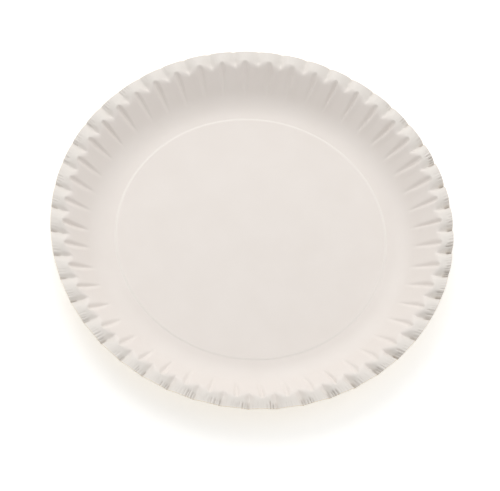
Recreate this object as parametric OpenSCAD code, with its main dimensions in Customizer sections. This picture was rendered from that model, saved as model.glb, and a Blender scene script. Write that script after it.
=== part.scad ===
// Pressed board plate with a fluted rim, one sheet of board of even thickness.
// Z is the axis of the plate and Z = 0 is the surface that it stands on.
// A flute is one groove in the wall with the ridge of the rim above it, and the
// rim's valleys lie halfway between two grooves.

/* [Plate] */
// Diameter over the rim
plate_d = 230; // [180:1:260]
// Height from the foot to the top of the rim
plate_h = 19; // [14:0.5:24]
// Thickness of the board
board_t = 0.4; // [0.3:0.05:0.6]
// Width of the rim, from the wall to the cut edge
rim_w = 7.2; // [5:0.1:12]

/* [Base] */
// How far the middle of the base is raised above the foot
base_rise = 0.4; // [0:0.1:1.5]
// Width of the step around the raised middle
step_w = 0.9; // [0.6:0.1:2.5]
// Width of the flat ring that the plate stands on
foot_w = 2.3; // [0.6:0.1:4]

/* [Wall] */
// Radius of the bend between the foot and the wall
bend_r = 19.5; // [8:0.5:24]
// Slope of the wall above the base, in degrees
wall_angle = 45.5; // [36:0.5:52]

/* [Flutes] */
// Number of flutes around the rim
flute_n = 48; // [36:4:60]
// Depth of a groove along the wall, square to the wall
groove_depth = 1; // [0.4:0.1:1.2]
// How much deeper a groove gets at its blunt head under the rim
head_depth = 0.3; // [0:0.1:0.8]
// Width of a groove at its head
groove_w = 5; // [4:0.5:8]
// Depth of a valley of the rim at the wall
valley_depth = 2.4; // [0.6:0.1:2.6]
// Depth of a valley of the rim at the cut edge
edge_depth = 1.4; // [0.4:0.1:2.4]
// Width of a valley of the rim at the wall
valley_w = 12; // [8:0.5:14]
// Width of a valley of the rim at the cut edge
edge_w = 8.5; // [6:0.5:14]
// How far the rim rises from the wall to the cut edge
rim_rise = 0.5; // [0:0.1:1]
// How softly the wall turns over into the rim
crest_round = 1.4; // [0.3:0.1:1.6]

/* [Hidden] */

plate_r = plate_d / 2;
half_t = board_t / 2;
pitch = 360 / flute_n;

// All heights below are those of the middle of the board
ridge_z = plate_h - half_t;
bend_end_z = half_t + bend_r * (1 - cos(wall_angle));
crest_r = plate_r - rim_w;
bend_end_r = crest_r - (ridge_z - bend_end_z) / tan(wall_angle);
foot_r = bend_end_r - bend_r * sin(wall_angle);
step_out_r = foot_r - foot_w;
base_r = step_out_r - step_w;

// Share of the wall's run, from its foot, over which a groove gets its depth
groove_run = 0.6;
// Length over which the head of a groove ends
head_l = 1;
// How far rings lie on each side of the crest line, as shares of the rim's width
crest_in = 0.14;
crest_out = 0.16;
// Where the rim's middle ring lies between the crest and the cut edge
rim_mid = 0.5;
// Reach of the search for the crest line, and its halvings
crest_reach = rim_w - crest_round;
crest_steps = 24;
// Step in millimetres for the slope of the surface
slope_step = 0.01;

// Places along one flute, from valley to valley, as shares of the pitch
ONE = [-0.5];
TWO = [-0.5, 0];
SIX = [-0.5, -0.24, -0.11, 0, 0.11, 0.24];
EIGHT = [-0.5, -0.37, -0.24, -0.12, 0, 0.12, 0.24, 0.37];

function mix(a, b, share) = a + (b - a) * share;
function limit(x) = min(1, max(0, x));
function smooth(x) = let (c = limit(x)) c * c * (3 - 2 * c);

// A fold with a sharp bottom and flanks that round over: 1 in the middle, 0 at the rim of it
function fold(x) = pow(1 - limit(abs(x)), 1.5);

// Lower of two heights, with a soft change from one to the other
function soft_min(a, b, k) = let (h = max(k - abs(a - b), 0) / k) min(a, b) - h * h * k / 4;

// Height of the plain dish, without flutes
function dish_z(r) =
    r <= step_out_r ? half_t + base_rise * (1 - limit((r - base_r) / step_w))
    : r <= foot_r ? half_t
    : r <= bend_end_r ? half_t + bend_r - sqrt(bend_r * bend_r - pow(r - foot_r, 2))
    : bend_end_z + (r - bend_end_r) * tan(wall_angle);

// Groove in the wall: it starts as a point where the bend ends and stops in a blunt head
function wall_share(r) = limit((r - bend_end_r) / (crest_r - bend_end_r));
function groove_at(t) =
    groove_depth * limit(t / groove_run) + head_depth * smooth((t - groove_run) / (1 - groove_run));
function groove_z(r, share) =
    let (
        t = wall_share(r),
        half_w = sqrt(t) * groove_w / 2,
        end = 1 - smooth((r - crest_r) / head_l),
        arc = share * pitch * r * PI / 180
    )
    t <= 0 ? 0 : groove_at(t) * end / cos(wall_angle) * fold(arc / half_w);

// Rim: ridges that rise a little outwards, with a valley halfway between two grooves
function rim_share(r) = limit((r - crest_r) / rim_w);
function rim_z(r, share) =
    let (
        out = rim_share(r),
        half_pitch = pitch * r * PI / 360,
        half_w = min(half_pitch, mix(valley_w, edge_w, out) / 2),
        arc = (0.5 - abs(share)) * 2 * half_pitch
    )
    ridge_z - rim_rise * (1 - out) - mix(valley_depth, edge_depth, out) * fold(arc / half_w);

function wall_z(r, share) = dish_z(r) - groove_z(r, share);
function board_z(r, share) =
    r <= bend_end_r ? dish_z(r) : soft_min(wall_z(r, share), rim_z(r, share), crest_round);

// Radius of the crest line, where wall and rim meet, found by halving
function crest_at(share, low, high, left) =
    let (mid = (low + high) / 2)
    left == 0 ? mid
    : wall_z(mid, share) > rim_z(mid, share) ? crest_at(share, low, mid, left - 1)
    : crest_at(share, mid, high, left - 1);
function crest(share) = crest_at(share, crest_r - crest_reach, crest_r + crest_reach, crest_steps);

// Direction square to the board, as parts outwards, sideways and upwards
function square_to(r, share) =
    let (
        turn = slope_step / (pitch * r * PI / 180),
        out = (board_z(r + slope_step, share) - board_z(r - slope_step, share)) / 2,
        side = (board_z(r, share + turn) - board_z(r, share - turn)) / 2,
        n = [-out, -side, slope_step]
    )
    n / norm(n);

// A point on one face of the board, at a place of the first flute
function skin_point(r, share, off) =
    let (
        n = square_to(r, share),
        outwards = min(plate_r, r + n[0] * off),
        a = share * pitch,
        side = n[1] * off
    )
    [outwards * cos(a) - side * sin(a), outwards * sin(a) + side * cos(a), board_z(r, share) + n[2] * off];

// Rings from the middle outwards, each with its places along a flute and its radius there
bend_ring = function (part) foot_r + bend_r * sin(wall_angle * part);
wall_ring = function (part) mix(bend_end_r, crest_r, part);
RINGS = [
    [ONE, function (s) base_r],
    [ONE, function (s) step_out_r],
    [ONE, function (s) foot_r],
    [ONE, function (s) bend_ring(1 / 3)],
    [TWO, function (s) bend_ring(2 / 3)],
    [TWO, function (s) bend_end_r],
    [SIX, function (s) wall_ring(0.38)],
    [SIX, function (s) wall_ring(0.72)],
    [EIGHT, function (s) crest(s) - crest_in * rim_w],
    [EIGHT, function (s) crest(s)],
    [EIGHT, function (s) crest(s) + crest_out * (plate_r - crest(s))],
    [EIGHT, function (s) mix(crest(s), plate_r, rim_mid)],
    [EIGHT, function (s) plate_r],
];
ring_n = len(RINGS);
counts = [for (ring = RINGS) len(ring[0])];
starts = [for (i = 0, at = 0; i <= ring_n; at = at + (i < ring_n ? counts[i] : 0) * flute_n, i = i + 1) at];
skin_n = starts[ring_n];

function turned(p, a) = [p[0] * cos(a) - p[1] * sin(a), p[0] * sin(a) + p[1] * cos(a), p[2]];

// All points of one face of the board, ring by ring
function skin(off) = [
    for (ring = RINGS)
        let (flute = [for (s = ring[0]) skin_point(ring[1](s), s, off)])
        for (k = [0:flute_n - 1], p = flute) turned(p, k * pitch)
];

// Number of a point on a ring, counted around and past the last flute
function on_ring(i, place) = starts[i] + place % (counts[i] * flute_n);

// Triangles between a ring and the next one over one flute: a is the place reached on the
// inner ring and b on the outer one, and the nearer next place is taken first
function band(i, k, a = 0, b = 0) =
    let (
        inner = RINGS[i][0],
        outer = RINGS[i + 1][0],
        next_a = a + 1 < counts[i] ? inner[a + 1] : 0.5,
        next_b = b + 1 < counts[i + 1] ? outer[b + 1] : 0.5,
        done_a = a == counts[i],
        done_b = b == counts[i + 1],
        step_a = !done_a && (done_b || next_a < next_b || (next_a == next_b && next_a <= 0)),
        p = on_ring(i, k * counts[i] + a),
        q = on_ring(i + 1, k * counts[i + 1] + b)
    )
    done_a && done_b ? []
    : step_a ? concat([[p, on_ring(i, k * counts[i] + a + 1), q]], band(i, k, a + 1, b))
    : concat([[p, on_ring(i + 1, k * counts[i + 1] + b + 1), q]], band(i, k, a, b + 1));

upper_faces = [for (i = [0:ring_n - 2], k = [0:flute_n - 1], f = band(i, k)) f];
lower_faces = [for (f = upper_faces) [skin_n + f[2], skin_n + f[1], skin_n + f[0]]];
rim_n = counts[ring_n - 1] * flute_n;
edge_faces = [
    for (j = [0:rim_n - 1])
        let (p = on_ring(ring_n - 1, j), q = on_ring(ring_n - 1, j + 1))
        each [[p, q, skin_n + q], [p, skin_n + q, skin_n + p]]
];
middle = [for (j = [0:counts[0] * flute_n - 1]) on_ring(0, j)];
upper_middle = [for (j = [len(middle) - 1:-1:0]) middle[j]];
lower_middle = [for (j = middle) skin_n + j];

// The whole plate: two faces of the board and the cut edge between them
module plate() {
    color("#f1ece6")
        polyhedron(
            points = concat(skin(half_t), skin(-half_t)),
            faces = concat([upper_middle, lower_middle], upper_faces, lower_faces, edge_faces)
        );
}

plate();
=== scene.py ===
# Pressed paperboard plate with a fluted rim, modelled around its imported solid
import math
import random

import bmesh
import bpy
import numpy as np
from mathutils import Matrix, Vector, noise


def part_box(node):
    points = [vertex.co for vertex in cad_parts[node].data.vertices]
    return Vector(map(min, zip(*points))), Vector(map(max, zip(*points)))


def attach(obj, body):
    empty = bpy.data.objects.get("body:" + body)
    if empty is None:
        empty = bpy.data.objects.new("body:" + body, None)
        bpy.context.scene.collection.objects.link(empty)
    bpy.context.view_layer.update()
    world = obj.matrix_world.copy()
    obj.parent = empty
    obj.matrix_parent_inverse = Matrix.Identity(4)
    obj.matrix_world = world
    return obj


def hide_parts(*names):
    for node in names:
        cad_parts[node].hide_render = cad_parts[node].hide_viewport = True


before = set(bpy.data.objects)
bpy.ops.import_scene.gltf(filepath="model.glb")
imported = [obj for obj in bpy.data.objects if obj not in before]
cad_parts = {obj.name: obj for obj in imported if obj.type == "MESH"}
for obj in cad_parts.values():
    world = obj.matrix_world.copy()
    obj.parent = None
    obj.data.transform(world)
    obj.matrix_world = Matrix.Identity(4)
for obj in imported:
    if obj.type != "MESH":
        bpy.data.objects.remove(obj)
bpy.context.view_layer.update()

mm = 0.001
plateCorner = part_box("plate")[1]

# All lengths are millimetres and all angles degrees, counted from the right side on past the back.
# Directions seen from above: clockwise is towards smaller angles.
plate = {
    "radius": plateCorner.x / mm,
    "height": plateCorner.z / mm,
    "boardThickness": 0.4,
    "rimWidth": 7.2,
    "rimRise": 0.5,                 # from the crest out to the cut edge
    "baseRadius": 77.4,
    "baseRise": 0.4,
    "stepWidth": 1.4,
    "footOut": 3.95,                # from the base's edge to the start of the bend
    "wallAngle": 45.5,
    "fluteCount": 48,
    # grooves of the wall: shallow troughs that widen into a blunt head under the crest
    "grooveStart": 93.6,            # radius of their points, where their run up to the crest starts
    "grooveDepth": 1.2,
    "grooveFull": (0.7, 0.8),       # share of the run at which it has its depth, and the power it grows by
    "grooveWiden": (0.8, 0.7),      # the same for its width
    "grooveFloor": (0.05, 0.45),    # half width of the bottom, at the point and at the head
    "grooveFlank": (1.0, 1.65),
    "headDepth": 0.05,              # added at the head
    "headRun": 0.6,                 # share of the run at which the head starts
    "headTurn": 0.65,               # and at which it starts to stand off to a side
    # the flank that faces the back: steeper, further out and with a bead along its top
    "backAt": 101,                  # angle of the back
    "backSharp": 1.5,               # how fast the flanks change over there
    "backFlank": 0.3,               # how much narrower the flank is
    "backFloor": 0.5,               # how much further out
    "beadHeight": 0.5,
    "beadWidth": 4.0,
    "beadFull": 0.3,                # share of the run at which the bead has its height
    # valleys of the rim, a wide shallow arch with a steep fold in its bottom
    # each pair is for the crest and for the cut edge
    "wideDepth": (1.5, 0.75),
    "wideBack": (1.85, 1.4),        # at the back of the plate, where the valleys are soft
    "wideHalf": (7.0, 6.5),
    "widePower": 2,                 # how hollow its sides are
    "steepDepth": (1.1, 0.95),
    "steepBack": (0.5, 0.05),
    "steepBackEnd": 0.5,            # share of the rim's width over which it fades at the back
    "steepHalfLow": (2.4, 2.0),     # on the clockwise side
    "steepHalfHigh": (3.4, 3.8),
    "steepPower": 1.5,
    "valleySoft": 0.22,             # rounding of the folds' bottoms
    "ridgeArch": 0.1,
    # rounding of the crest line, from the middle of a groove to the middle of a valley
    "crestRound": (0.5, 2.1, 2.1, 1.0),
    "crestRoundAt": (0.15, 0.35, 0.7, 0.9),
    # how far the pressing is from perfect
    "seed": 11,
    "shift": 0.25,                  # of a groove or valley, in degrees
    "leanEach": 0.35,               # of the grooves' points
    "vary": 0.18,                   # share of a depth or a width
    "gathered": (0.35, 0.95),       # how strongly a flute is pleated: spread and middle
    "backFrom": (0.3, 0.9),         # sine of the angle over which the back begins
    "backRim": (0.3, 0.0),          # how far the crest and the cut edge stand up there
    "edgeOut": (0.53, 0.2),         # how far a valley's end is out at the back and in at the front, for its depth
    "ripple": 0.08,                 # crumpled board
    "rippleSize": 2.8,
    "rippleFine": 0.5,              # share of the finer lumps
    "rippleApart": 7.0,             # keeps the two sizes of lump from falling together
    "rippleFrom": (96, 102),        # radii over which it starts
    "rippleRim": (104, 107),        # and grows from the wall's share to the whole
    "rippleWall": 0.35,
    # slow changes round the plate, given at every 45 degrees
    "valleyOff": (0.4, 0.4, 0.1, 0, 0, 0, 0, -0.45),         # degrees
    "lean": (1.25, 1, 0.35, -0.3, -0.65, -1.05, -0.2, 0.6),  # degrees that a groove's point stands off
    "headOff": (0, 0.25, 0.25, 0.25, 0, -0.1, 0, -0.6),      # and its head
    "grooveDeep": (1, 0.95, 0.4, 0.8, 1.05, 1, 0.9, 0.9),    # share of the depth
    "grooveSkew": (0, 0, 0.1, 0.35, 0.3, 0.1, 0, -0.15),     # how much steeper the clockwise flank is
    "backShape": (0, 1, 0.8, 0, 0, 0, 0, 0),                 # share of the flank that faces the back
    "headOut": (-0.3, 0.6, 0.2, 0, -0.2, 0.2, 0.4, 0.4),     # where a groove starts to end, from the crest
    "headLength": (1, 1, 1, 1, 1, 1.4, 1.6, 2),              # over which it ends
    "slant": (-0.36, -0.12, 0, -0.1, 0.3, 0.12, 0.1, -0.38),  # how far the rim's folds run clockwise
    "wideLow": (0.7, 0.65, 0.75, 1, 1, 1, 1, 1),             # share of the arch's width, clockwise of it
    "wideHigh": (0.75, 1, 1, 1, 1, 1, 0.85, 0.6),            # and on the other
    "crestDeep": (0.8, 0.9, 0.9, 1, 0.95, 1, 1.05, 1.1),     # share of a valley's depth at the crest
    "edgeDeep": (2.3, 1.25, 0.95, 0.85, 0.9, 1, 1.1, 1.25),  # and at the cut edge
    "edgeIn": (0.6, 0.6, 0.5, 0.4, 0, 0, 0, 0.2),            # how far the cut edge is drawn in
    "tuckDeep": (1.3, 0.75, 0, 0, 0.65, 1.2, 0.7, 1.3),      # depth of the tucks
    "tuckHalf": (5.2, 3.6, 3, 2.6, 3.2, 2.9, 3, 3.4),        # and their half width, in columns
    # pleats where the board is gathered towards the cut edge
    "pleatSteps": (3, 5),           # columns from one pleat to the next
    "pleatDepth": (0.4, 1.15),
    "pleatAt": (-0.4, 0.05, 0.2, 0.45),     # places along a flute, from the calm side to the gathered one
    "pleatShare": (0.2, 0.3, 1.0, 1.3),     # and how deep the pleats are there
    "pleatSplit": 15,               # angle at which the gathered side changes
    "pleatLeft": 0.65,              # how much weaker they are on the left
    "pleatBack": 0.5,               # power by which they fade at the back
    "pleatHalf": (1.4, 2.1),        # columns
    "pleatStart": (109.6, 111.8),
    "pleatFull": 1.6,               # length over which a pleat gets its depth
    # tucks, the folds at the outer ends of the valleys
    "tuckDepth": (0.7, 1.1),        # each one's share of the depth above
    "tuckStart": 110.9,
    # columns of the mesh
    "steps": 240,                   # around the plate, doubled at each radius below
    "double": (83.0, 90.0, 108.9),
    "gather": 0.6,                  # how much closer columns stand along a fold
    "gatherEnd": 2.0,               # length past the crest over which that ends
    # rings of the mesh: how many in each span, and how far the close ones reach past a fold
    "middle": 14,                   # radius of the innermost
    "baseRings": 5,
    "baseStop": 1.5,
    "stepRings": 7,
    "stepReach": 0.2,
    "bendRings": 10,
    "bendReach": 0.8,
    "wallRings": 8,
    "crestRings": 10,
    "crestReach": (2.2, 1.4),
    "rimRings": 9,
    "sameRing": 0.05,               # points this close in radius stand on one ring
    "samePoint": 1e-4,              # and this close are one
    # the crest line is looked for this far inward and outward of the even crest
    "crestSearch": (6, 5),
    "halvings": 20,
}


def mix(a, b, share):
    return a + (b - a) * share


def limit(x):
    return np.clip(x, 0.0, 1.0)


def smooth(x):
    c = limit(x)
    return c * c * (3 - 2 * c)


def between(x, start, end):
    # 0 up to the start, 1 from the end on, with soft ends
    return smooth((x - start) / (end - start))


def around(name, angle):
    # a setting that changes slowly round the plate
    values = plate[name]
    return np.interp(angle, np.arange(len(values) + 1) * 360 / len(values), values + values[:1])


def arcLength(degrees, r):
    return degrees * r * math.pi / 180


def offBy(angle, place):
    return (angle - place + 180) % 360 - 180


def fold(x, soften, power):
    # a V with a rounded bottom and soft shoulders
    return (1 - limit(np.sqrt(x * x + soften * soften) - soften)) ** power


def softMin(a, b, k):
    h = np.maximum(k - np.abs(a - b), 0) / k
    return np.minimum(a, b) - h * h * k / 4


# Heights are those of the middle of the board
halfBoard = plate["boardThickness"] / 2
slope = math.radians(plate["wallAngle"])
pitch = 360 / plate["fluteCount"]
ridgeZ = plate["height"] - halfBoard
crestR = plate["radius"] - plate["rimWidth"]
baseR = plate["baseRadius"]
stepOutR = baseR + plate["stepWidth"]
footR = baseR + plate["footOut"]
# the bend lowers the wall until it meets the ridges at the crest
tooHigh = halfBoard + (crestR - footR) * math.tan(slope) - ridgeZ
bendRadius = tooHigh / (math.tan(slope) * math.sin(slope) - 1 + math.cos(slope))
bendEndR = footR + bendRadius * math.sin(slope)


def dishZ(r):
    rise = plate["baseRise"] * (1 - smooth((r - baseR) / plate["stepWidth"]))
    inBend = np.clip(r - footR, 0, bendRadius * math.sin(slope))
    bend = bendRadius - np.sqrt(bendRadius ** 2 - inBend ** 2)
    wall = np.maximum(r - bendEndR, 0) * math.tan(slope)
    return halfBoard + rise + bend + wall


# Places and sizes of the flutes, each a little off
rng = random.Random(plate["seed"])


def eachFlute(spread, centre=0.0):
    return np.array([centre + rng.uniform(-spread, spread) for _ in range(plate["fluteCount"])])


evenly = np.arange(plate["fluteCount"]) * pitch
grooveAt = evenly + eachFlute(plate["shift"])
grooveLean = around("lean", evenly) + eachFlute(plate["leanEach"])
grooveScale = eachFlute(plate["vary"], 1)
grooveWide = eachFlute(plate["vary"], 1)
valleyAt = evenly + pitch / 2 + eachFlute(plate["shift"])
valleyAt += around("valleyOff", valleyAt)
gathered = eachFlute(*plate["gathered"])
valleyScale = eachFlute(plate["vary"], 1)


def backShare(angle):
    # 1 at the back of the plate, where the pressing is softer
    return between(np.sin(np.radians(angle)), *plate["backFrom"])


def fluteOf(angle):
    # flute k runs from valley k - 1 to valley k
    return np.searchsorted(valleyAt, angle % 360) % plate["fluteCount"]


def runUp(r):
    # 0 at the grooves' points, 1 at the crest
    return limit((r - plate["grooveStart"]) / (crestR - plate["grooveStart"]))


def grooveCentre(r, k):
    t = runUp(r)
    aside = around("headOff", grooveAt[k]) * between(t, plate["headTurn"], 1)
    return grooveAt[k] + grooveLean[k] * (1 - t) + aside


def grooveArc(r, angle, k):
    return arcLength(offBy(angle, grooveCentre(r, k)), r)


def wallZ(r, angle):
    k = fluteOf(angle)
    t = runUp(r)
    atFull, deepPower = plate["grooveFull"]
    atWide, widePower = plate["grooveWiden"]
    wide = limit(t / atWide) ** widePower
    arc = grooveArc(r, angle, k) / grooveWide[k]
    # 1 on the flank that faces the back, 0 on the other
    facing = limit(0.5 - plate["backSharp"] * np.sign(arc) * np.sin(np.radians(plate["backAt"] - angle)))
    facing = facing * around("backShape", angle)
    flank = mix(*plate["grooveFlank"], wide) * (1 - plate["backFlank"] * facing)
    flank = flank * (1 + np.sign(arc) * around("grooveSkew", angle))
    bottom = mix(*plate["grooveFloor"], wide) + plate["backFloor"] * facing * wide
    outside = np.abs(arc) - bottom - flank
    inside = 1 + outside / flank
    end = 1 - smooth((r - crestR - around("headOut", angle)) / around("headLength", angle))
    deep = plate["grooveDepth"] * limit(t / atFull) ** deepPower
    deep = deep + plate["headDepth"] * between(t, plate["headRun"], 1)
    deep = deep * (1 - smooth(inside)) * grooveScale[k] * end * around("grooveDeep", angle)
    bead = plate["beadHeight"] * facing * smooth(inside) * (1 - smooth(outside / plate["beadWidth"]))
    bead = bead * limit(t / plate["beadFull"]) * end
    return dishZ(r) - (deep - bead) / math.cos(slope)


def valleyShape(toNext, toLast, k, low, high, power):
    falls = fold(toNext / low, plate["valleySoft"], power) * valleyScale[k]
    rises = fold(toLast / high, plate["valleySoft"], power) * valleyScale[(k - 1) % plate["fluteCount"]]
    return np.maximum(falls, rises)


def rimZ(r, angle):
    k = fluteOf(angle)
    toNext = arcLength(offBy(valleyAt[k], angle), r)
    toLast = arcLength(offBy(angle, valleyAt[(k - 1) % plate["fluteCount"]]), r)
    out = limit((r - crestR) / plate["rimWidth"])
    back = backShare(angle)
    deeper = mix(around("crestDeep", angle), around("edgeDeep", angle), smooth(out))
    half = mix(*plate["wideHalf"], out)
    low, high = half * around("wideLow", angle), half * around("wideHigh", angle)
    wide = deeper * mix(mix(*plate["wideDepth"], smooth(out)), mix(*plate["wideBack"], smooth(out)), back)
    wide = wide * valleyShape(toNext, toLast, k, low, high, plate["widePower"])
    low, high = mix(*plate["steepHalfLow"], out), mix(*plate["steepHalfHigh"], out)
    atBack = mix(*plate["steepBack"], smooth(out / plate["steepBackEnd"]))
    steep = deeper * mix(mix(*plate["steepDepth"], out), atBack, back)
    steep = steep * valleyShape(toNext, toLast, k, low, high, plate["steepPower"])
    side = (toNext - toLast) / (toNext + toLast)
    crestUp, edgeUp = plate["backRim"]
    raised = mix(-plate["rimRise"] * (1 - out), mix(crestUp - plate["rimRise"], edgeUp, out), back)
    return ridgeZ + raised - plate["ridgeArch"] * side * side - wide - steep


def boardZ(r, angle):
    wall = np.where(r > plate["grooveStart"], wallZ(r, angle), dishZ(r))
    side = np.abs(grooveArc(r, angle, fluteOf(angle))) / arcLength(pitch / 2, r)
    rounding = np.interp(side, plate["crestRoundAt"], plate["crestRound"])
    return np.where(r < bendEndR, wall, softMin(wall, rimZ(r, angle), rounding))


def crestOf(angle):
    # radius of the crest line, where wall and rim meet, found by halving
    inward, outward = plate["crestSearch"]
    low = np.full_like(angle, crestR - inward)
    high = np.full_like(angle, crestR + outward)
    for halving in range(plate["halvings"]):
        middle = (low + high) / 2
        above = wallZ(middle, angle) > rimZ(middle, angle)
        high = np.where(above, middle, high)
        low = np.where(above, low, middle)
    return (low + high) / 2


def columnAngle(ring, near, share):
    # columns follow the grooves and the valleys
    k = near % plate["fluteCount"]
    centre = grooveCentre(ring, k)
    reach = np.where(share < 0, offBy(centre, valleyAt[k - 1]), offBy(valleyAt[k], centre))
    return centre + 2 * share * reach


def pleatList():
    # each pleat has an angle, a depth, a half width and a radius where it starts
    found = []
    total = plate["steps"] * 2 ** len(plate["double"])
    each = total // plate["fluteCount"]
    column = 1
    while column <= total - plate["pleatSteps"][0]:
        near = round(column / each)
        share = column / each - near
        angle = float(columnAngle(plate["radius"], near, share))
        side = -1 if math.cos(math.radians(angle - plate["pleatSplit"])) > 0 else 1
        loud = float(np.interp(side * share, plate["pleatAt"], plate["pleatShare"]))
        loud *= gathered[near % plate["fluteCount"]]
        loud *= 1 - plate["pleatLeft"] * limit(-math.cos(math.radians(angle)))
        loud *= (1 - backShare(angle)) ** plate["pleatBack"]
        found.append((angle, loud * rng.uniform(*plate["pleatDepth"]),
                      rng.uniform(*plate["pleatHalf"]), rng.uniform(*plate["pleatStart"])))
        column += rng.randint(*plate["pleatSteps"])
    for angle, scale in zip(valleyAt, valleyScale):
        depth = float(around("tuckDeep", angle)) * rng.uniform(*plate["tuckDepth"])
        found.append((angle, depth * scale, float(around("tuckHalf", angle)), plate["tuckStart"]))
    width = math.tau * plate["radius"] / total
    return [(angle, depth, half * width, start) for angle, depth, half, start in found]


def pleatDepth(r, angle):
    deepest = np.zeros_like(r)
    for place, depth, half, start in pleatList():
        arc = arcLength(offBy(angle, place), r)
        here = depth * smooth((r - start) / plate["pleatFull"]) * (1 - limit(np.abs(arc) / half))
        deepest = np.maximum(deepest, here)
    return deepest


def ripple(x, y, r):
    # none on the base, little on the wall
    size, apart = plate["rippleSize"], plate["rippleApart"]
    lumps = np.array([noise.noise((a / size, b / size, 0.0))
                      + plate["rippleFine"] * noise.noise((a * 2 / size, b * 2 / size, apart))
                      for a, b in zip(x, y)])
    share = mix(plate["rippleWall"], 1, between(r, *plate["rippleRim"]))
    return lumps * plate["ripple"] * share * between(r, *plate["rippleFrom"])


def ringRadii():
    crestIn, crestOut = crestR - plate["crestReach"][0], crestR + plate["crestReach"][1]
    spans = [(plate["middle"], baseR - plate["baseStop"], plate["baseRings"]),
             (baseR - plate["stepReach"], stepOutR + plate["stepReach"], plate["stepRings"]),
             (footR - plate["bendReach"], bendEndR, plate["bendRings"]),
             (bendEndR, crestIn, plate["wallRings"]),
             (crestIn, crestOut, plate["crestRings"]),
             (crestOut, plate["radius"], plate["rimRings"])]
    radii = [mix(start, end, i / (count - 1)) for start, end, count in spans for i in range(count)]
    return sorted({round(r, 4) for r in radii})


def flatDisc(radii):
    bm = bmesh.new()
    points = [bm.verts.new((r, 0, 0)) for r in radii]
    edges = [bm.edges.new(pair) for pair in zip(points, points[1:])]
    bmesh.ops.spin(bm, geom=points + edges, cent=(0, 0, 0), axis=(0, 0, 1), angle=math.tau,
                   steps=plate["steps"], use_merge=True, use_duplicate=False)
    bmesh.ops.remove_doubles(bm, verts=bm.verts, dist=plate["samePoint"])
    inner = [e for e in bm.edges if e.is_boundary and e.verts[0].co.length < radii[0] + plate["sameRing"]]
    bmesh.ops.edgeloop_fill(bm, edges=inner)
    for start in plate["double"]:
        lengths = [(e, e.verts[0].co.length, e.verts[1].co.length) for e in bm.edges]
        onRings = [e for e, one, other in lengths if abs(one - other) < plate["sameRing"] and one > start]
        bmesh.ops.subdivide_edges(bm, edges=onRings, cuts=1, use_grid_fill=True)
    bmesh.ops.recalc_face_normals(bm, faces=bm.faces)
    if sum(f.normal.z for f in bm.faces) < 0:
        bmesh.ops.reverse_faces(bm, faces=bm.faces)
    return bm


def alongFolds(ring, angle):
    # turns the disc's even columns to follow the grooves and the valleys, closer along a fold
    near = np.round(angle / pitch).astype(int)
    share = angle / pitch - near
    gather = plate["gather"] * (1 - smooth((ring - crestR) / plate["gatherEnd"]))
    share = share - gather * np.sin(4 * np.pi * share) / (4 * np.pi)
    turned = between(ring, footR, plate["grooveStart"])
    return angle + turned * offBy(columnAngle(ring, near, share), angle)


def alongCrest(ring, angle):
    # rings near the crest follow its line
    crest = crestOf(angle)
    inside = bendEndR + (ring - bendEndR) * (crest - bendEndR) / (crestR - bendEndR)
    outside = plate["radius"] - (plate["radius"] - ring) * (plate["radius"] - crest) / plate["rimWidth"]
    return np.where(ring <= bendEndR, ring, np.where(ring <= crestR, inside, outside))


def movedEdge(r, angle, z):
    # the cut edge is drawn in, and the valleys' ends stand out at the back and in at the front
    towardsBack = np.sin(np.radians(angle))
    pushed = np.maximum(ridgeZ - z, 0) * towardsBack * np.where(towardsBack > 0, *plate["edgeOut"])
    return r + (pushed - around("edgeIn", angle)) * smooth((r - crestR) / plate["rimWidth"])


def pressedPlate():
    radii = np.array(ringRadii())
    bm = flatDisc(list(radii))
    flat = np.array([v.co for v in bm.verts])
    measured = np.hypot(flat[:, 0], flat[:, 1])
    ring = radii[np.abs(measured[:, None] - radii[None, :]).argmin(1)]
    angle = alongFolds(ring, np.degrees(np.arctan2(flat[:, 1], flat[:, 0])) % 360)
    r = alongCrest(ring, angle)
    pleated = pleatDepth(r, angle)
    z = boardZ(r, angle) - pleated
    r = movedEdge(r, angle, z)
    turn = np.radians(angle) - around("slant", angle) * np.maximum(r - crestR, 0) / r
    x, y = r * np.cos(turn), r * np.sin(turn)
    z = np.minimum(z + ripple(x, y, r), ridgeZ)
    for vert, a, b, height in zip(bm.verts, x, y, z):
        vert.co = (a * mm, b * mm, height * mm)
    data = bpy.data.meshes.new("pressedPlate")
    bm.to_mesh(data)
    bm.free()
    # how deep the pleats are, kept for the painted shade in the creases
    creaseShade = data.attributes.new("creaseShade", "FLOAT", "POINT")
    creaseShade.data.foreach_set("value", np.minimum(pleated, 1).astype(np.float32))
    made = bpy.data.objects.new("pressedPlate", data)
    bpy.context.scene.collection.objects.link(made)
    return made


def giveThickness(piece):
    # the second and third materials go to the underside and the cut edge
    shell = piece.modifiers.new("board", "SOLIDIFY")
    shell.thickness = plate["boardThickness"] * mm
    shell.offset = 0
    shell.use_quality_normals = True
    shell.material_offset = 1
    shell.material_offset_rim = 2
    bpy.context.view_layer.update()
    seen = piece.evaluated_get(bpy.context.evaluated_depsgraph_get())
    solid = bpy.data.meshes.new_from_object(seen)
    piece.modifiers.clear()
    piece.data = solid
    # nothing stands past the solid's size
    co = np.empty(len(solid.vertices) * 3)
    solid.vertices.foreach_get("co", co)
    co = co.reshape(-1, 3)
    out = np.hypot(co[:, 0], co[:, 1])
    co[:, :2] *= np.minimum(1, plate["radius"] * mm / np.maximum(out, mm))[:, None]
    co[:, 2] = np.clip(co[:, 2], 0, plate["height"] * mm)
    solid.vertices.foreach_set("co", co.ravel())
    # smooth all over but at the edges between two materials
    solid.polygons.foreach_set("use_smooth", [True] * len(solid.polygons))
    touching = {}
    for p in solid.polygons:
        for key in p.edge_keys:
            touching.setdefault(key, set()).add(p.material_index)
    for e in solid.edges:
        e.use_edge_sharp = len(touching[e.key]) > 1
    solid.update()


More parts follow.
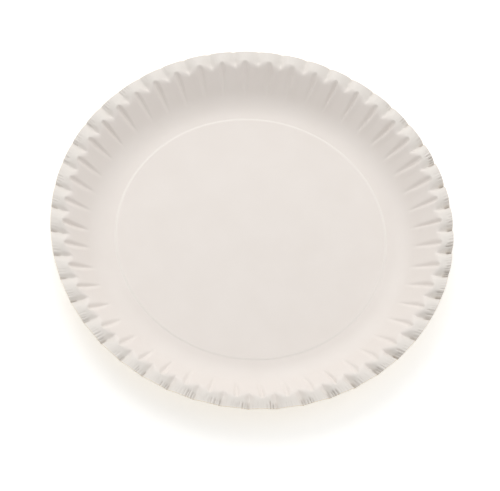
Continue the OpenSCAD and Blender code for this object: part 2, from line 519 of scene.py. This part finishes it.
def linear(code):
    # sRGB hex to linear
    parts = [int(code[i:i + 2], 16) / 255 for i in (1, 3, 5)]
    return tuple(c / 12.92 if c <= 0.04045 else ((c + 0.055) / 1.055) ** 2.4 for c in parts) + (1.0,)


def addNode(tree, kind, settings=None, links=None):
    # a setting is the node's own or an input's value, and inputs go by name or number
    node = tree.nodes.new(kind)
    for name, value in (settings or {}).items():
        if isinstance(name, int) or (name in node.inputs and not hasattr(node, name)):
            node.inputs[name].default_value = value
        else:
            setattr(node, name, value)
    for name, source in (links or {}).items():
        tree.links.new(source, node.inputs[name])
    return node


def newMaterial(name):
    material = bpy.data.materials.new(name)
    material.use_nodes = True
    material.node_tree.nodes.clear()
    return material, material.node_tree


# Sockets of a Mix node that mixes colours
first, second, mixed = 6, 7, 2

boardLook = {
    "ior": 1.45,
    # the coated face
    "coated": "#F1EAE4",
    "coatedShade": "#EBE3DC",
    "cloudSize": 22,         # mm, of the slow change between the two
    "cloudDetail": 3.0,
    "fibreSize": 0.45,       # mm: flocs of fibres, since one fibre, 0.03 mm wide, is too fine to show
    "fibreDetail": 4.0,
    "felt": (0.12, 0.02),    # strength of the bump, and its height in mm
    "pressed": "#EAE4DD",    # a little darker over the rim, from near the crest outward
    "pressedFrom": (105.5, 109.5),
    "lip": "#F1EAE0",        # the coating broken off at the cut edge
    "lipFrom": (114.1, 114.7),
    "stepHighlight": "#F4EEE8",     # painted highlight along the step round the base
    "stepHighlightWidth": 1.2,
    "creaseShade": "#A39686",     # painted shade in the bottom of a crease
    "creaseShadeShare": 0.32,
    "roughness": 0.5,
    # the underside
    "underside": "#E6DDCF",
    "undersideFleck": "#CDBFA9",
    "undersideFibre": 0.8,
    "undersideDetail": 5.0,
    "undersideFelt": (0.25, 0.03),
    "undersideRoughness": 0.85,
    # the cut edge
    "edge": "#EFE4CF",
    "edgeDark": "#D9C7A4",
    "edgeFibre": 0.9,
    "edgeDetail": 4.0,
    "edgeRoughness": 0.9,
}


def coatedBoard():
    # clay-coated sulphate board, calendered and die pressed: matt white with a soft sheen
    material, tree = newMaterial("coatedPlateBoard")
    place = addNode(tree, "ShaderNodeTexCoord")
    cloud = addNode(tree, "ShaderNodeTexNoise",
                    {"Scale": 1 / (boardLook["cloudSize"] * mm), "Detail": boardLook["cloudDetail"]},
                    {"Vector": place.outputs["Object"]})
    tone = addNode(tree, "ShaderNodeMix",
                   {"data_type": "RGBA", first: linear(boardLook["coated"]),
                    second: linear(boardLook["coatedShade"])},
                   {"Factor": cloud.outputs["Fac"]})
    # distance from the plate's axis, for the rings of other tone
    flat = addNode(tree, "ShaderNodeVectorMath", {"operation": "MULTIPLY", 1: (1, 1, 0)},
                   {0: place.outputs["Object"]})
    fromAxis = addNode(tree, "ShaderNodeVectorMath", {"operation": "LENGTH"}, {0: flat.outputs["Vector"]})
    for colour in ("pressed", "lip"):
        start, full = boardLook[colour + "From"]
        ring = addNode(tree, "ShaderNodeMapRange", {"From Min": start * mm, "From Max": full * mm},
                       {"Value": fromAxis.outputs["Value"]})
        tone = addNode(tree, "ShaderNodeMix", {"data_type": "RGBA", second: linear(boardLook[colour])},
                       {"Factor": ring.outputs["Result"], first: tone.outputs[mixed]})
    # painted highlight: a lighter band centred on the step round the base
    fromStep = addNode(tree, "ShaderNodeMath", {"operation": "SUBTRACT", 1: (baseR + stepOutR) / 2 * mm},
                       {0: fromAxis.outputs["Value"]})
    apart = addNode(tree, "ShaderNodeMath", {"operation": "ABSOLUTE"}, {0: fromStep.outputs[0]})
    band = addNode(tree, "ShaderNodeMapRange", {"From Min": boardLook["stepHighlightWidth"] * mm, "From Max": 0.0},
                   {"Value": apart.outputs[0]})
    tone = addNode(tree, "ShaderNodeMix", {"data_type": "RGBA", second: linear(boardLook["stepHighlight"])},
                   {"Factor": band.outputs["Result"], first: tone.outputs[mixed]})
    # painted shade: the coated tone goes grey where the pleats are deep
    creaseShade = addNode(tree, "ShaderNodeAttribute", {"attribute_name": "creaseShade"})
    share = addNode(tree, "ShaderNodeMath", {"operation": "MULTIPLY", 1: boardLook["creaseShadeShare"]},
                    {0: creaseShade.outputs["Fac"]})
    tone = addNode(tree, "ShaderNodeMix", {"data_type": "RGBA", second: linear(boardLook["creaseShade"])},
                   {"Factor": share.outputs[0], first: tone.outputs[mixed]})
    fibre = addNode(tree, "ShaderNodeTexNoise",
                    {"Scale": 1 / (boardLook["fibreSize"] * mm), "Detail": boardLook["fibreDetail"]},
                    {"Vector": place.outputs["Object"]})
    strength, height = boardLook["felt"]
    felt = addNode(tree, "ShaderNodeBump", {"Strength": strength, "Distance": height * mm},
                   {"Height": fibre.outputs["Fac"]})
    surface = addNode(tree, "ShaderNodeBsdfPrincipled",
                      {"Roughness": boardLook["roughness"], "IOR": boardLook["ior"]},
                      {"Base Color": tone.outputs[mixed], "Normal": felt.outputs["Normal"]})
    addNode(tree, "ShaderNodeOutputMaterial", None, {"Surface": surface.outputs["BSDF"]})
    return material


def uncoatedBoard():
    # the back of the board: bare pulp, dull and a little creamier
    material, tree = newMaterial("barePlateBoard")
    place = addNode(tree, "ShaderNodeTexCoord")
    fibre = addNode(tree, "ShaderNodeTexNoise",
                    {"Scale": 1 / (boardLook["undersideFibre"] * mm), "Detail": boardLook["undersideDetail"]},
                    {"Vector": place.outputs["Object"]})
    tone = addNode(tree, "ShaderNodeMix",
                   {"data_type": "RGBA", first: linear(boardLook["underside"]),
                    second: linear(boardLook["undersideFleck"])},
                   {"Factor": fibre.outputs["Fac"]})
    strength, height = boardLook["undersideFelt"]
    felt = addNode(tree, "ShaderNodeBump", {"Strength": strength, "Distance": height * mm},
                   {"Height": fibre.outputs["Fac"]})
    surface = addNode(tree, "ShaderNodeBsdfPrincipled",
                      {"Roughness": boardLook["undersideRoughness"], "IOR": boardLook["ior"]},
                      {"Base Color": tone.outputs[mixed], "Normal": felt.outputs["Normal"]})
    addNode(tree, "ShaderNodeOutputMaterial", None, {"Surface": surface.outputs["BSDF"]})
    return material


def cutEdge():
    # die-cut edge: the pulp between the faces shows, darker and rough
    material, tree = newMaterial("cutPlateEdge")
    place = addNode(tree, "ShaderNodeTexCoord")
    fibre = addNode(tree, "ShaderNodeTexNoise",
                    {"Scale": 1 / (boardLook["edgeFibre"] * mm), "Detail": boardLook["edgeDetail"]},
                    {"Vector": place.outputs["Object"]})
    tone = addNode(tree, "ShaderNodeMix",
                   {"data_type": "RGBA", first: linear(boardLook["edge"]),
                    second: linear(boardLook["edgeDark"])},
                   {"Factor": fibre.outputs["Fac"]})
    surface = addNode(tree, "ShaderNodeBsdfPrincipled",
                      {"Roughness": boardLook["edgeRoughness"], "IOR": boardLook["ior"]},
                      {"Base Color": tone.outputs[mixed]})
    addNode(tree, "ShaderNodeOutputMaterial", None, {"Surface": surface.outputs["BSDF"]})
    return material


piece = pressedPlate()
for made in (coatedBoard(), uncoatedBoard(), cutEdge()):
    piece.data.materials.append(made)
giveThickness(piece)
triangles = sum(len(p.vertices) - 2 for p in piece.data.polygons)
print("plate pressed:", len(piece.data.vertices), "points,", triangles, "triangles")
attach(piece, "root")
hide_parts("plate")

# Studio: pale floor, large soft lights and an even surround
studio = {
    "floorSize": 6.0,               # metres
    "floorColour": "#FAFAF9",
    "floorRoughness": 0.9,
    "floorGlow": 0.35,              # lit from below, as on a light table
    "surround": 0.584,
    "surroundColour": "#FFFFFF",
    "lampColour": "#FFFFFF",
    # angle round the plate, elevation, distance and size in metres, watts
    "lamps": {
        "backLight": (101, 38, 0.95, 1.15, 3.41),
        "leftLight": (125, 50, 0.95, 0.75, 1.62),
        "rightLight": (12, 45, 0.95, 0.75, 0.84),
    },
}


def floor():
    bm = bmesh.new()
    bmesh.ops.create_grid(bm, x_segments=1, y_segments=1, size=studio["floorSize"] / 2)
    data = bpy.data.meshes.new("studioFloor")
    bm.to_mesh(data)
    bm.free()
    made = bpy.data.objects.new("studioFloor", data)
    bpy.context.scene.collection.objects.link(made)
    # painted board: matt and nearly white
    material, tree = newMaterial("palePaintedFloor")
    colour = linear(studio["floorColour"])
    surface = addNode(tree, "ShaderNodeBsdfPrincipled",
                      {"Roughness": studio["floorRoughness"], "Base Color": colour,
                       "Emission Color": colour, "Emission Strength": studio["floorGlow"]})
    addNode(tree, "ShaderNodeOutputMaterial", None, {"Surface": surface.outputs["BSDF"]})
    data.materials.append(material)


def direction(angle, elevation):
    a, e = math.radians(angle), math.radians(elevation)
    return Vector((math.cos(a) * math.cos(e), math.sin(a) * math.cos(e), math.sin(e)))


def areaLight(name, angle, elevation, distance, size, watts):
    data = bpy.data.lights.new(name, "AREA")
    data.shape = "DISK"
    data.size = size
    data.energy = watts
    data.color = linear(studio["lampColour"])[:3]
    lamp = bpy.data.objects.new(name, data)
    bpy.context.scene.collection.objects.link(lamp)
    away = direction(angle, elevation)
    turn = away.to_track_quat("Z", "Y").to_matrix().to_4x4()
    lamp.matrix_world = Matrix.Translation(away * distance) @ turn


def surround():
    world = bpy.data.worlds.new("studioSurround")
    world.use_nodes = True
    back = world.node_tree.nodes["Background"]
    back.inputs["Color"].default_value = linear(studio["surroundColour"])
    back.inputs["Strength"].default_value = studio["surround"]
    bpy.context.scene.world = world


floor()
for name, lamp in studio["lamps"].items():
    areaLight(name, *lamp)
surround()
bpy.context.scene.view_settings.view_transform = "Standard"
print("studio lit")

# The photograph's camera: looks at the middle of the base
lens = {
    "focalPixels": 1729.3,
    "distance": 998.1,
    "elevation": 61.91,
    "angle": -93.03,
    "roll": 9.28,
    "targetHeight": 0.6,
    "frame": (500, 491),
    "target": (251.08, 234.6),    # pixel where the middle of the base lies
    "sensor": 36.0,
    "clipStart": 10,
}


def camera():
    data = bpy.data.cameras.new("photoCamera")
    width, height = lens["frame"]
    across, down = lens["target"]
    data.sensor_width = lens["sensor"]
    data.lens = lens["focalPixels"] * lens["sensor"] / width
    data.shift_x = ((width - 1) / 2 - across) / width
    data.shift_y = (down - (height - 1) / 2) / width
    data.clip_start = lens["clipStart"] * mm
    made = bpy.data.objects.new("photoCamera", data)
    bpy.context.scene.collection.objects.link(made)
    back = direction(lens["angle"], lens["elevation"])
    right = Vector((0, 0, 1)).cross(back).normalized()
    up = back.cross(right)
    roll = math.radians(lens["roll"])
    rolledRight = right * math.cos(roll) + up * math.sin(roll)
    rolledUp = up * math.cos(roll) - right * math.sin(roll)
    turn = Matrix((rolledRight, rolledUp, back)).transposed().to_4x4()
    target = Vector((0, 0, lens["targetHeight"] * mm))
    made.matrix_world = Matrix.Translation(back * lens["distance"] * mm + target) @ turn
    bpy.context.scene.camera = made


camera()
print("camera placed")
